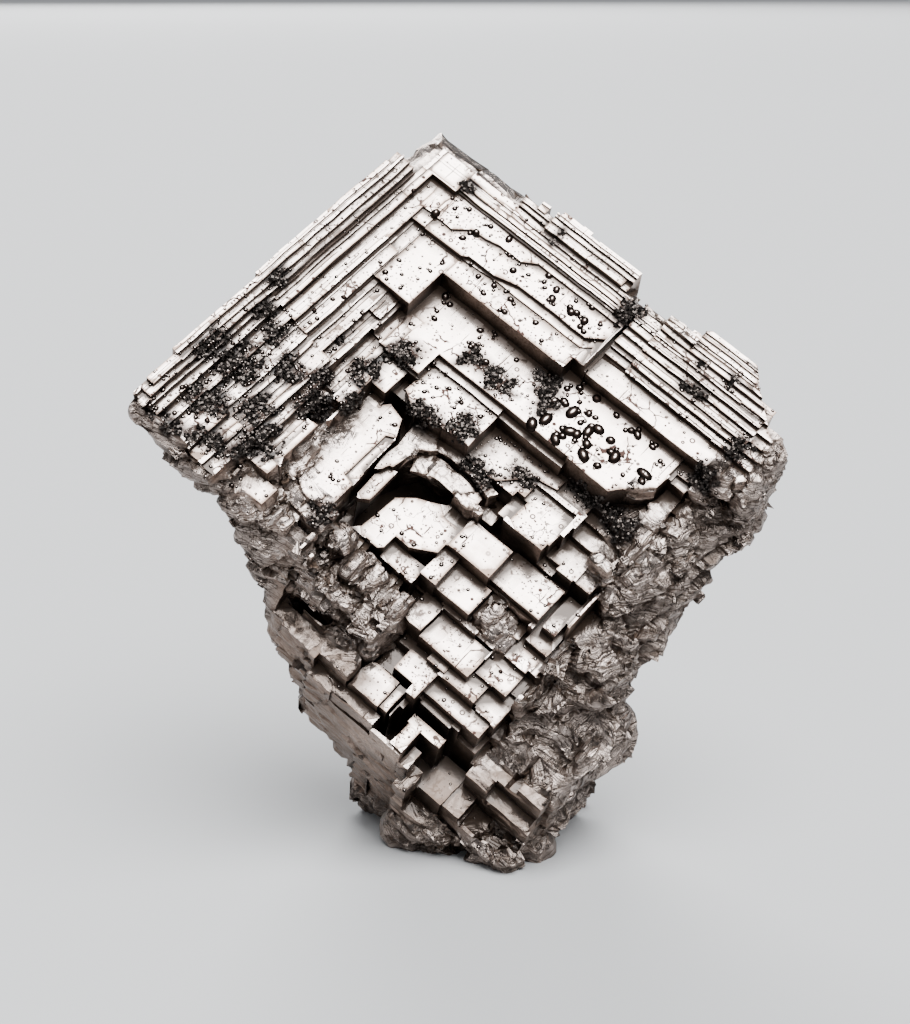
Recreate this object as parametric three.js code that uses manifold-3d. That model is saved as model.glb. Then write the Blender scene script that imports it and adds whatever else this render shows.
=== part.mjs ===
// Native bismuth: a group of skeletal (hopper) crystals grown together in parallel, one solid.
//
// Bismuth grows fastest along its edges, so each crystal is a nest of thin terraces that step
// down from raised rims into hollows.  Every terrace is square to the same three crystal axes:
//   a  down the left-hand limb,   b  down the right-hand limb,   c  square to the terraces.
// The group is built in that crystal frame from blocks with a = x, b = y, c = z.  Then it is
// turned to the way it stands and cut off flat where it was broken from its matrix.
import * as THREE from 'three';
import * as BufferGeometryUtils from 'three/addons/utils/BufferGeometryUtils.js';
import Module from 'manifold-3d';

const wasm = await Module();
wasm.setup();

// ---- Driving dimensions, in millimetres and degrees -------------------------------------
const TERRACE_ELEVATION = 41.6;  // how far the terrace normal points above the horizon
const TERRACE_AZIMUTH = 8.6;     // and how far it is turned to the right of straight ahead
const EDGE_SPIN = 43.6;          // turn of the crystal edges within the terrace plane
const RIM_HEIGHT = 28.45;        // height of the rim's upper corner above the broken base
const SKY = 3;                   // clear space above the highest terrace
const DEEP = -26;                // below the deepest point of the group
const STEP_BACK = [0.0, 0.35, -0.15, 0.25, 0.1, -0.25, 0.3];  // how unevenly an edge has broken

// ---- Solids -----------------------------------------------------------------------------
function toSolid(geometry) {
  const bare = geometry.clone();
  bare.deleteAttribute('normal');
  bare.deleteAttribute('uv');
  const merged = BufferGeometryUtils.mergeVertices(bare);
  return new wasm.Manifold(new wasm.Mesh({
    numProp: 3,
    vertProperties: new Float32Array(merged.attributes.position.array),
    triVerts: new Uint32Array(merged.index.array),
  }));
}

function toGeometry(solid) {
  const mesh = solid.getMesh();
  const geometry = new THREE.BufferGeometry();
  geometry.setAttribute('position', new THREE.BufferAttribute(mesh.vertProperties, 3));
  geometry.setIndex(new THREE.BufferAttribute(mesh.triVerts, 1));
  return geometry;
}

function block(a0, a1, b0, b1, c0, c1) {
  const box = new THREE.BoxGeometry(a1 - a0, b1 - b0, c1 - c0);
  box.translate((a0 + a1) / 2, (b0 + b1) / 2, (c0 + c1) / 2);
  return toSolid(box);
}

function prism(outline, c0, c1) {
  const shape = new THREE.Shape(outline.map(([a, b]) => new THREE.Vector2(a, b)));
  const solid = new THREE.ExtrudeGeometry(shape, { depth: c1 - c0, bevelEnabled: false });
  solid.translate(0, 0, c0);
  return toSolid(solid);
}

// A prism whose outline is drawn across an edge of the crystal, in [a, c] or in [b, c].
function cutAlongB(outline, b0, b1) {
  const basis = new THREE.Matrix4().makeBasis(
    new THREE.Vector3(1, 0, 0), new THREE.Vector3(0, 0, 1), new THREE.Vector3(0, -1, 0));
  return slopeCut(outline, b1 - b0, basis, 0, b1);
}

function cutAlongA(outline, a0, a1) {
  const basis = new THREE.Matrix4().makeBasis(
    new THREE.Vector3(0, 1, 0), new THREE.Vector3(0, 0, 1), new THREE.Vector3(1, 0, 0));
  return slopeCut(outline, a1 - a0, basis, a0, 0);
}

function slopeCut(outline, depth, basis, shiftA, shiftB) {
  const shape = new THREE.Shape(outline.map(([x, c]) => new THREE.Vector2(x, c)));
  const solid = new THREE.ExtrudeGeometry(shape, { depth, bevelEnabled: false });
  solid.applyMatrix4(basis);
  solid.translate(shiftA, shiftB, 0);
  return toSolid(solid);
}

// The top of the group is laid like paint: each terrace sets the level of its own ground,
// over whatever was laid there before.
let group = block(-1, 18, -1, 19, DEEP, DEEP + 1);

function terrace(level, a0, a1, b0, b1) {
  group = group.subtract(block(a0, a1, b0, b1, level, SKY)).add(block(a0, a1, b0, b1, DEEP, level));
}

function ledge(level, outline) {
  group = group.subtract(prism(outline, level, SKY)).add(prism(outline, DEEP, level));
}

// Cuts away what stands above a worn or broken slope.
function sloped(cutter) {
  group = group.subtract(cutter);
}

// Lays a flight of strips side by side: each starts at its own a and runs on to the end.
function stripsAcrossA(strips, end, b0, b1) {
  strips.forEach(([level, start]) => terrace(level, start, end, b0, b1));
}

function stripsAcrossB(strips, end, a0, a1) {
  strips.forEach(([level, start]) => terrace(level, a0, a1, start, end));
}

// ---- Ground levels under the smaller crystals -------------------------------------------
function layGround() {
  terrace(-0.2, -1.25, 1.6, -0.85, 4.3);
  terrace(-0.2, -0.50, 3.4, 10.3, 17.0);
  terrace(-1.8, 3.2, 9.0, 4.0, 9.0);
  terrace(-3.0, 3.2, 17.0, 8.0, 19.6);
  terrace(-2.6, 8.0, 17.3, 3.5, 8.2);
  terrace(-4.2, 8.8, 15.8, 5.6, 19.9);
  terrace(-6.0, 11.2, 17.4, 8.6, 20.5);
  terrace(-5.0, 9.6, 11.9, 11.3, 16.2);
  terrace(-5.7, 11.7, 13.5, 11.3, 15.9);
  terrace(-8.2, 14.4, 18.2, 10.6, 21.2);
  terrace(-6.8, 13.4, 15.5, 11.8, 17.4);
  terrace(-7.4, 15.3, 16.9, 11.8, 16.4);
  terrace(-10.8, 16.4, 18.3, 12.4, 21.2);
}

// ---- Large upper crystal: left limb -----------------------------------------------------
function layLeftLimb() {
  stripsAcrossB([
    [0.80, -0.92], [0.74, -0.72], [0.60, -0.51], [0.45, -0.22], [0.22, 0.02], [0.10, 0.13],
    [0.00, 0.28], [-0.28, 0.62], [-0.50, 1.30], [-0.56, 1.46], [-0.64, 1.95],
  ], 4.0, 1.55, 10.2);
  terrace(0.60, 1.55, 2.3, -0.92, -0.6);
  stripsAcrossB([
    [0.74, -0.78], [0.60, -0.51], [0.45, -0.22], [0.20, 0.00], [0.00, 0.20], [-0.28, 0.50],
    [-0.56, 1.12], [-0.64, 1.48], [-0.80, 2.02], [-0.95, 2.36], [-1.20, 3.30], [-1.50, 3.80],
  ], 5.0, 10.2, 15.0);
  stripsAcrossB([
    [0.64, -0.62], [0.45, -0.25], [0.20, -0.02], [0.00, 0.18], [-0.28, 0.55], [-0.45, 1.05],
    [-0.75, 2.30], [-1.00, 3.00], [-1.40, 3.70],
  ], 4.9, 15.0, 17.6);
  terrace(0.45, 16.6, 17.6, -0.62, -0.25);
  terrace(0.30, 17.0, 17.8, -0.50, 0.05);
  terrace(-0.10, 17.2, 17.95, 0.05, 2.2);
  terrace(-0.90, 17.3, 17.75, 2.2, 3.6);
  terrace(-2.00, 15.6, 17.2, 3.60, 5.45);
}

// ---- Large upper crystal: corner and right limb -----------------------------------------
function layRightLimb() {
  terrace(0.02, -0.35, 2.6, 0.13, 4.0);
  terrace(0.06, -0.40, 2.6, 0.13, 0.32);
  stripsAcrossA([
    [0.10, -0.45], [0.05, -0.28], [0.00, 0.10], [-0.08, 0.48], [-0.20, 0.74],
  ], 4.05, 1.9, 10.6);
  stripsAcrossA([
    [0.28, -0.74], [0.20, -0.50], [0.08, -0.26], [0.02, 0.10], [-0.08, 0.48], [-0.20, 0.74],
  ], 4.05, 4.3, 5.8);
  terrace(0.34, -1.02, -0.60, 5.0, 5.4);
  stripsAcrossA([
    [0.45, -0.95], [0.38, -0.78], [0.30, -0.54], [0.10, -0.12], [0.02, 0.10], [-0.08, 0.48],
    [-0.20, 0.74],
  ], 4.05, 5.8, 10.5);
  terrace(0.50, -1.20, -0.77, 6.0, 7.5);
  terrace(0.50, -1.02, -0.77, 7.5, 8.0);
  terrace(0.50, -1.08, -0.77, 8.0, 10.2);
  terrace(0.20, -0.55, -0.1, 9.9, 10.5);
  // the wide inner plates, whose growth fronts wander
  terrace(-0.28, 1.00, 4.05, 0.62, 11.1);
  terrace(-0.28, 0.82, 4.05, 1.9, 11.0);
  ledge(-0.38, [[2.35, 1.32], [2.35, 2.9], [1.8, 3.5], [1.75, 4.2], [1.55, 4.9], [1.55, 6.0],
    [1.1, 6.6], [1.1, 11.0], [4.15, 11.0], [4.15, 1.32]]);
  ledge(-0.55, [[3.05, 1.30], [3.0, 4.0], [2.8, 4.3], [2.8, 5.6], [2.45, 6.7], [2.45, 10.2],
    [1.9, 10.9], [3.5, 11.0], [4.05, 10.4], [4.15, 1.30]]);
  ledge(-0.62, [[3.05, 1.46], [3.0, 4.0], [2.85, 5.8], [2.85, 10.3], [2.5, 10.7], [3.4, 10.9],
    [3.9, 10.5], [4.05, 10.0], [4.05, 4.0], [4.6, 4.0], [4.6, 1.46]]);
  terrace(-0.64, 3.1, 6.15, 1.95, 4.0);
}

// ---- Inner flight of the left limb, below the corner plate --------------------------------
function layInnerFlight() {
  stripsAcrossB([
    [-0.80, 1.95], [-0.95, 2.26], [-1.20, 2.80], [-1.60, 3.55],
  ], 4.9, 6.15, 10.2);
  terrace(-1.05, 6.15, 7.3, 2.80, 3.4);
  terrace(-1.75, 7.8, 11.2, 3.4, 4.3);
  terrace(-1.90, 8.0, 9.4, 4.3, 5.6);
  terrace(-2.20, 11.2, 12.6, 4.1, 4.9);
}

// ---- Smaller right-hand crystal ----------------------------------------------------------
function layRightCrystal() {
  stripsAcrossA([
    [-0.05, 0.00], [-0.10, 0.33], [-0.18, 0.53], [-0.32, 0.87], [-0.48, 1.18], [-0.65, 1.67],
    [-0.80, 1.85], [-1.00, 2.20],
  ], 3.40, 11.15, 12.5);
  stripsAcrossA([
    [0.30, -0.45], [0.10, -0.05], [-0.02, 0.22], [-0.10, 0.49], [-0.15, 0.60], [-0.32, 0.91],
    [-0.48, 1.26], [-0.58, 1.69], [-0.75, 1.97], [-1.00, 2.30],
  ], 3.40, 12.3, 13.9);
  terrace(0.30, -0.62, -0.3, 13.4, 13.9);
  stripsAcrossA([
    [0.42, -1.00], [0.36, -0.78], [0.30, -0.57], [0.20, -0.33], [0.12, -0.02], [-0.02, 0.22],
    [-0.06, 0.49], [-0.15, 0.60], [-0.32, 0.91], [-0.48, 1.26], [-0.58, 1.69], [-0.75, 1.97],
    [-1.00, 2.30],
  ], 3.40, 13.8, 16.8);
  stripsAcrossA([
    [0.25, -0.55], [0.12, -0.02], [-0.02, 0.22], [-0.15, 0.55], [-0.32, 0.91], [-0.48, 1.26],
    [-0.60, 1.72], [-0.78, 1.97], [-1.00, 2.35],
  ], 3.40, 16.8, 18.0);
  stripsAcrossA([
    [-0.10, 0.25], [-0.28, 0.62], [-0.45, 1.05], [-0.62, 1.50], [-0.84, 1.97], [-1.06, 2.42],
  ], 3.40, 18.0, 18.9);
  stripsAcrossA([
    [-0.50, 0.55], [-0.75, 1.00], [-1.00, 1.70], [-1.30, 2.60],
  ], 3.40, 18.9, 19.5);
  terrace(-1.3, 1.4, 3.4, 19.5, 19.85);
  terrace(-3.2, 1.7, 2.5, 19.5, 19.95);
}

// ---- The great pit's floor and the broad terrace that runs on from it ----------------------
function layPitFloor() {
  terrace(-1.60, 4.05, 6.6, 3.90, 10.7);
  terrace(-1.60, 4.05, 7.9, 3.90, 6.05);
  ledge(-1.60, [[3.4, 10.4], [3.4, 16.6], [5.2, 16.4], [6.1, 15.5], [6.65, 15.05], [6.65, 10.4]]);
  terrace(-1.85, 6.6, 6.95, 6.05, 9.6);
  terrace(-2.00, 6.95, 8.6, 6.05, 9.6);
  ledge(-2.00, [[8.6, 6.05], [9.2, 7.0], [9.3, 8.2], [9.0, 9.6], [8.5, 9.6], [8.5, 6.05]]);
  ledge(-2.10, [[6.6, 9.6], [6.9, 9.6], [6.9, 12.9], [6.6, 12.9]]);
  ledge(-2.90, [[6.9, 9.6], [9.1, 9.6], [8.8, 11.2], [7.6, 12.3], [7.4, 13.3], [6.9, 13.3]]);
  terrace(-3.05, 6.65, 7.5, 13.3, 14.9);
}

// ---- Ledges along the right-hand side -------------------------------------------------------
function layRightSide() {
  terrace(-1.80, 3.4, 4.4, 16.4, 18.6);
  terrace(-1.95, 4.0, 4.4, 16.6, 17.4);
  terrace(-2.60, 4.4, 6.0, 16.6, 18.2);
  ledge(-3.00, [[5.30, 16.35], [6.10, 15.60], [6.90, 15.00], [6.90, 17.3], [6.0, 17.3], [6.0, 16.6],
    [5.3, 16.6]]);
  terrace(-3.45, 6.9, 7.4, 14.8, 17.2);
  terrace(-3.75, 7.4, 8.3, 14.9, 17.2);
  for (let step = 0; step < 6; step += 1) {
    const start = 4.2 + 0.78 * step;
    terrace(-2.8 - 0.24 * step, start, start + 0.78, 17.3, 18.4);
    terrace(-3.3 - 0.36 * step, start - 0.4, start + 0.5, 18.4, 19.6);
  }
  terrace(-4.50, 8.1, 9.3, 17.1, 18.2);
  terrace(-5.20, 8.6, 9.9, 18.2, 19.9);
  terrace(-5.50, 9.3, 12.2, 17.3, 18.7);
  terrace(-6.00, 9.7, 11.2, 18.7, 20.2);
  terrace(-6.60, 11.2, 12.4, 18.2, 20.6);
  terrace(-7.00, 12.2, 13.6, 17.8, 19.2);
  terrace(-7.60, 11.9, 14.2, 19.2, 21.0);
  terrace(-7.60, 13.4, 15.2, 17.8, 19.4);
  terrace(-8.80, 10.1, 11.9, 19.9, 21.4);
  terrace(-8.40, 14.2, 15.9, 18.4, 21.2);
  terrace(-8.80, 15.4, 16.9, 17.4, 19.6);
}

// ---- Sunken middle: the round-shouldered crystal and the plate under the arch ---------------
function layMiddle() {
  ledge(-2.60, [[9.3, 5.9], [10.6, 4.9], [12.0, 5.0], [12.4, 4.8], [14.9, 4.8], [15.4, 6.0],
    [15.6, 8.1], [14.6, 8.2], [14.4, 7.3], [10.4, 7.1], [9.5, 6.7]]);
  ledge(-2.30, [[12.6, 4.8], [14.6, 4.8], [14.9, 5.4], [12.9, 5.3]]);
  ledge(-2.74, [[14.3, 5.3], [14.75, 6.2], [14.9, 8.2], [15.6, 8.1], [15.4, 6.0], [14.9, 4.8]]);
  ledge(-2.70, [[10.5, 6.72], [13.0, 6.72], [13.1, 7.25], [10.3, 7.05]]);
  terrace(-4.80, 9.9, 14.3, 7.25, 8.5);
  // lamellae that bend round the top of the arch
  ledge(-2.90, [[9.1, 7.1], [8.9, 8.3], [9.4, 8.6], [9.9, 8.2], [10.5, 7.95], [11.45, 7.75],
    [11.8, 7.3], [11.2, 7.2], [10.2, 7.2]]);
  ledge(-3.15, [[11.3, 7.65], [11.2, 8.0], [12.9, 8.0], [13.2, 7.6], [13.0, 7.45], [11.9, 7.4]]);
  ledge(-3.05, [[8.95, 8.2], [8.8, 9.3], [8.9, 10.6], [9.2, 11.6], [9.55, 11.4], [9.3, 10.4],
    [9.25, 9.3], [9.4, 8.5]]);
  ledge(-3.30, [[9.9, 8.0], [9.45, 8.7], [9.35, 9.6], [9.5, 10.6], [9.9, 11.7], [10.6, 11.6],
    [10.35, 10.6], [10.25, 9.6], [10.35, 8.9], [10.7, 8.3]]);
  ledge(-4.10, [[10.5, 9.3], [10.35, 11.4], [12.3, 11.4], [13.0, 10.3], [13.9, 9.4],
    [13.9, 8.0], [12.2, 8.0], [11.2, 8.4]]);
  terrace(-4.60, 13.0, 13.9, 9.6, 11.3);
  terrace(-2.90, 15.5, 16.9, 5.70, 6.6);
  terrace(-3.30, 15.6, 16.7, 6.60, 7.6);
  // a mass of thin upright plates, each a little higher, lower, longer or shorter than the next
  for (let i = 0; i < 15; i += 1) {
    const b = 7.7 + 0.27 * i;
    const jump = STEP_BACK[(3 * i) % STEP_BACK.length];
    terrace(-3.9 - 0.1 * i + 0.7 * jump, 14.1 + jump, 16.7 - 0.6 * jump, b, b + 0.27);
    terrace(-4.3 - 0.1 * i - 0.5 * jump, 15.4 + 0.6 * jump, 16.2, b, b + 0.27);
  }
}

// ---- Staircase of small blocks that runs down to the base ------------------------------------
function layStaircase() {
  terrace(-3.20, 7.7, 9.8, 12.5, 14.6);
  terrace(-3.45, 8.5, 9.6, 12.1, 12.7);
  terrace(-3.80, 9.6, 10.1, 11.2, 12.2);
  terrace(-4.10, 8.2, 9.6, 14.8, 16.2);
  terrace(-4.40, 9.4, 9.85, 14.5, 15.3);
  terrace(-4.00, 10.3, 11.85, 11.4, 13.55);
  terrace(-4.15, 10.4, 11.0, 10.4, 11.4);
  terrace(-4.60, 9.9, 11.6, 13.55, 16.1);
  terrace(-5.60, 9.5, 12.2, 16.1, 17.2);
  terrace(-5.10, 9.7, 11.5, 16.3, 16.95);
  terrace(-4.90, 8.8, 10.8, 16.95, 17.2);
  terrace(-4.40, 11.85, 13.4, 11.3, 12.1);
  terrace(-4.80, 11.85, 13.3, 12.1, 13.85);
  terrace(-5.20, 11.7, 13.0, 13.9, 14.7);
  terrace(-5.50, 11.7, 13.2, 14.7, 15.3);
  terrace(-5.45, 13.3, 13.6, 12.6, 14.5);
  terrace(-5.60, 13.4, 14.85, 11.8, 12.75);
  terrace(-5.90, 13.5, 14.95, 12.8, 15.4);
  terrace(-5.80, 12.4, 13.9, 15.4, 15.85);
  terrace(-5.95, 12.4, 13.2, 15.85, 17.1);
  terrace(-6.20, 13.2, 14.45, 15.45, 17.0);
  terrace(-6.60, 13.0, 14.0, 17.0, 17.7);
  terrace(-6.40, 14.45, 15.45, 15.4, 16.2);
  terrace(-6.40, 14.95, 15.45, 14.3, 15.4);
  terrace(-6.80, 14.4, 15.4, 16.3, 17.3);
  terrace(-6.30, 14.95, 15.3, 13.6, 14.5);
  terrace(-6.60, 15.3, 16.4, 12.8, 14.3);
  terrace(-6.60, 16.3, 16.85, 13.85, 14.3);
  terrace(-7.00, 15.45, 16.2, 14.3, 17.2);
  terrace(-7.50, 16.2, 16.5, 14.4, 16.0);
  terrace(-7.00, 16.6, 18.0, 11.8, 13.35);
  terrace(-7.10, 16.6, 17.9, 13.4, 13.75);
  terrace(-7.40, 16.85, 17.8, 13.85, 14.1);
}

// ---- Foot of the group: chevron, tall recess and the broken rim of the base -------------------
function layFoot() {
  terrace(-10.2, 17.2, 19.0, 13.9, 16.3);
  terrace(-7.80, 16.9, 17.35, 14.5, 16.2);
  terrace(-7.80, 16.9, 18.6, 14.6, 15.20);
  terrace(-7.90, 18.5, 18.9, 13.7, 15.20);
  terrace(-8.60, 17.7, 19.05, 15.3, 15.7);
  terrace(-9.20, 18.1, 19.2, 15.7, 16.2);
  terrace(-10.0, 16.6, 18.45, 16.3, 17.5);
  terrace(-10.1, 16.6, 18.3, 17.5, 18.4);
  terrace(-8.80, 16.5, 17.1, 17.6, 18.7);
  terrace(-9.60, 16.4, 17.2, 18.7, 21.0);
  terrace(-10.9, 15.9, 16.9, 20.9, 21.8);
  terrace(-11.0, 17.1, 18.2, 18.5, 19.5);
  terrace(-11.3, 17.1, 17.9, 19.5, 21.0);
  terrace(-11.4, 18.4, 19.3, 16.2, 18.9);
  terrace(-12.2, 19.2, 19.7, 15.8, 17.4);
  // block that stands out on the left
  terrace(-8.00, 16.6, 17.2, 7.60, 9.6);
  terrace(-6.60, 17.0, 18.0, 6.50, 8.2);
  terrace(-6.60, 17.3, 18.2, 8.20, 9.8);
  terrace(-6.60, 17.0, 18.3, 9.80, 11.7);
  terrace(-7.60, 18.0, 18.6, 10.2, 13.6);
  terrace(-8.60, 18.5, 18.9, 11.4, 13.7);
}

// ---- Broken wall that closes the end of the left limb ------------------------------------------
// It is laid in short lengths that step down along b, and each leans out as it goes down.
function layEndWall() {
  const LENGTH = 0.8;
  for (let i = 0; i < 5; i += 1) {
    const b = 3.6 + LENGTH * i;
    const top = -2.0 - 0.62 * i + 0.5 * STEP_BACK[i];
    terrace(top, 16.5, 17.9, b, b + LENGTH);
    sloped(cutAlongB([[16.9, top], [17.4, top - 0.9], [17.9, top - 2.2], [19, top - 2.2],
      [19, SKY], [16.9, SKY]], b, b + LENGTH));
  }
}

// ---- Worn and broken edges, which slope away from the terraces ---------------------------------
layGround();
layLeftLimb();
layRightLimb();
layInnerFlight();
layRightCrystal();
layPitFloor();
layRightSide();
layMiddle();
layStaircase();
layFoot();
layEndWall();
sloped(cutAlongB([[-0.28, 0.0], [-0.28, SKY], [-2, SKY], [-2, -0.9]], -2, 4.3));
sloped(cutAlongA([[0.12, 0.1], [0.12, SKY], [-2, SKY], [-2, -1.4]], -2, 1.55));
sloped(cutAlongA([[18.0, 0.3], [18.0, SKY], [22, SKY], [22, -3.0], [19.5, -0.7]], -2, 3.5));
sloped(cutAlongA([[18.5, -2.6], [18.5, SKY], [22, SKY], [22, -6.6]], 3.0, 9.2));
sloped(cutAlongB([[0.1, 0.2], [-0.6, SKY], [-2, SKY], [-2, -1.2]], 10.2, 12.3));
sloped(prism([[-1.5, 10.0], [-1.5, 11.1], [-0.3, 11.1], [-0.3, 10.75], [-1.0, 10.25]], -1.1, SKY));
sloped(prism([[-1.5, 13.2], [-1.5, 14.1], [-1.0, 14.0], [-0.6, 13.55], [-0.6, 13.2]], -1.1, SKY));
sloped(prism([[-1.5, 16.1], [-1.0, 16.3], [-0.2, 17.1], [0.9, 18.6], [1.0, 20.5], [-1.5, 20.5]],
  -0.75, SKY));
// the cavity under the arch
sloped(prism([[9.8, 8.3], [9.75, 10.4], [10.5, 10.2], [10.85, 9.6], [11.1, 9.1], [11.7, 8.45],
  [13.6, 8.3], [14.0, 7.95], [12.9, 7.5], [11.4, 7.5], [10.4, 7.9]], -5.6, -3.5));
// the groove where the two large crystals meet
sloped(block(0.2, 3.55, 11.02, 11.16, -0.95, SKY));

// ---- Underside ---------------------------------------------------------------------------------
// The group narrows downwards in steps from its rim to the broken base.  Each tier is the
// ground that the group still covers at that depth: [depth, a0, a1, b0, b1].
const TIERS = [
  [-1.2, -1.5, 18.0, -1.4, 19.7],
  [-1.9, -1.0, 18.0, 0.6, 19.95],
  [-2.7, -0.6, 17.9, 2.4, 20.0],
  [-3.5, 0.2, 17.8, 3.6, 19.9],
  [-4.4, 1.2, 17.7, 4.7, 20.3],
  [-5.2, 2.4, 17.7, 5.4, 19.8],
  [-6.1, 3.6, 17.7, 5.9, 19.5],
  [-8.7, 5.2, 18.5, 6.5, 19.9],
  [-10.0, 7.0, 18.6, 7.4, 20.7],
  [-11.6, 8.6, 18.6, 8.9, 21.4],
  [-13.2, 10.0, 18.3, 9.9, 21.2],
  [-13.6, 15.8, 17.0, 19.8, 21.9],
  [-15.0, 11.2, 18.1, 11.4, 21.2],
  [-15.4, 17.0, 19.6, 15.7, 18.6],
  [-16.6, 12.2, 18.6, 12.8, 21.2],
  [-18.0, 13.0, 18.6, 14.0, 21.2],
];
// Each edge of a tier is broken into lengths that stand forward or back a little.
const LENGTHS = 5;

function tierSolid([depth, a0, a1, b0, b1], index) {
  let bySideA = block(a0 + 0.5, a1, b0, b1, depth, SKY);
  let bySideB = block(a0, a1, b0 + 0.5, b1, depth, SKY);
  for (let i = 0; i < LENGTHS; i += 1) {
    const stepA = STEP_BACK[(2 * index + i) % STEP_BACK.length];
    const stepB = STEP_BACK[(3 * index + 2 * i) % STEP_BACK.length];
    const fromB = b0 + (b1 - b0) * i / LENGTHS;
    const fromA = a0 + (a1 - a0) * i / LENGTHS;
    const toB = fromB + (b1 - b0) / LENGTHS;
    const toA = fromA + (a1 - a0) / LENGTHS;
    bySideA = bySideA.add(block(a0 + stepA, a0 + 1, fromB, toB, depth, SKY));
    bySideB = bySideB.add(block(fromA, toA, b0 + stepB, b0 + 1, depth, SKY));
  }
  return bySideA.intersect(bySideB.add(block(a0 - 0.5, a0 + 0.5, b0, b1, depth, SKY)));
}

const underside = TIERS.map(tierSolid).reduce((whole, tier) => whole.add(tier));
group = group.intersect(underside);

// ---- Turn upright and cut the base flat ---------------------------------------------------------
const rad = THREE.MathUtils.degToRad;
const up = new THREE.Vector3(0, 0, 1);
const normal = new THREE.Vector3(
  Math.sin(rad(TERRACE_AZIMUTH)) * Math.cos(rad(TERRACE_ELEVATION)),
  -Math.cos(rad(TERRACE_AZIMUTH)) * Math.cos(rad(TERRACE_ELEVATION)),
  Math.sin(rad(TERRACE_ELEVATION)),
);
const level = new THREE.Vector3().crossVectors(up, normal).normalize();
const slope = new THREE.Vector3().crossVectors(normal, level);
const alongA = level.clone().multiplyScalar(-Math.cos(rad(EDGE_SPIN)))
  .addScaledVector(slope, -Math.sin(rad(EDGE_SPIN)));
const alongB = new THREE.Vector3().crossVectors(normal, alongA);

const upright = toGeometry(group);
upright.applyMatrix4(new THREE.Matrix4().makeBasis(alongA, alongB, normal));
upright.translate(0, 0, RIM_HEIGHT);

const CLEAR = 60;
const aboveBase = new THREE.BoxGeometry(CLEAR, CLEAR, CLEAR);
aboveBase.translate(0, 0, CLEAR / 2);
const SLIVER = 0.004;  // edges shorter than this are closed up
const standing = toGeometry(toSolid(upright).intersect(toSolid(aboveBase)).simplify(SLIVER));

// the origin is the middle of the standing group's box, at its foot
standing.computeBoundingBox();
const centre = standing.boundingBox.getCenter(new THREE.Vector3());
standing.translate(-centre.x, -centre.y, 0);
standing.computeVertexNormals();

const bismuth = new THREE.Mesh(standing, new THREE.MeshStandardMaterial({
  color: 0xb9aaa2, roughness: 0.35, metalness: 1.0,
}));
bismuth.name = 'bismuth';

const part = new THREE.Group();
part.add(bismuth);
export default part;
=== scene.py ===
# %% [markdown]
# Native bismuth, in Blender
#
# Bismuth is a soft, heavy, silvery metal with a faint pink tint.  Its crystals grow fastest
# along their edges, so each one becomes a nest of thin steps around a sunken middle: a hopper
# crystal.  This lesson takes the measured solid of such a group and gives it the look of the
# real thing: mirror-bright terraces, dull brown step walls, beads of metal that set on the
# terraces, crusts of tiny dark crystals in the hollows, and torn, flaky sides.
#
# The finished pieces are in metres, in the frame of the measured solid.

# %% Load the measured solid
import math
import random

import bmesh
import bpy
from mathutils import Euler, Matrix, Vector, noise
from mathutils.bvhtree import BVHTree
from mathutils.kdtree import KDTree


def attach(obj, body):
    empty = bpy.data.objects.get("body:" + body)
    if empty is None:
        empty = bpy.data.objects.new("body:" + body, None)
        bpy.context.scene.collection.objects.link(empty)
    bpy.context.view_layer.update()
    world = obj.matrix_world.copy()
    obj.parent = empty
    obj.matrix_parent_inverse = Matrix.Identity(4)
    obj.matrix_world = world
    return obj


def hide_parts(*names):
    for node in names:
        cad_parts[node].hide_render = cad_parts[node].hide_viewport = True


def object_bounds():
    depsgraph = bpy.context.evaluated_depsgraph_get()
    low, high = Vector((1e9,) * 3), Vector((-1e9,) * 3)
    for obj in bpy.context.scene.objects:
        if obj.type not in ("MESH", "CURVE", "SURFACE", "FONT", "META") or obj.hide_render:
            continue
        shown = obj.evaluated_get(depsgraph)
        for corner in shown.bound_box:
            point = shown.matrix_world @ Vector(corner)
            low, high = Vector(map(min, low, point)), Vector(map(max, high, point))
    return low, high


noise.seed_set(7)
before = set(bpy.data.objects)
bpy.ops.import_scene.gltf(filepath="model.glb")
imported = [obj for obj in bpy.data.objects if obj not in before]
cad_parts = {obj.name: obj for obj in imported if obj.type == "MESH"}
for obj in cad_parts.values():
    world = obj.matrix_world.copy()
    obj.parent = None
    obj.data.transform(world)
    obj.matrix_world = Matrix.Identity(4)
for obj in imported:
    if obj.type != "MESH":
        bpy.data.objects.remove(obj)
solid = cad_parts["bismuth"]
cad_low, cad_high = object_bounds()
cad_mid = (cad_low + cad_high) / 2
print("solid, mm:", [round(1000 * v, 2) for v in cad_high - cad_low])

# %% [markdown]
# The crystal's own frame
#
# All the terraces are parallel, so the work is easiest on a bench where they lie level.  The
# bench has a down the left-hand limb, b down the right-hand limb and c square to the terraces,
# in millimetres, with its origin at the upper corner of the rim.  One matrix takes the bench to
# the standing group, and its inverse takes the solid to the bench.  The alternative, working
# out each slanted position in world axes, would hide the simple numbers.

# %% Bench matrix
MM = 0.001
TERRACE_ELEVATION = math.radians(41.6)
TERRACE_AZIMUTH = math.radians(8.6)
EDGE_SPIN = math.radians(43.6)
RIM_CORNER = Vector((-1.1103, 4.5064, 28.45)) * MM

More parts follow.
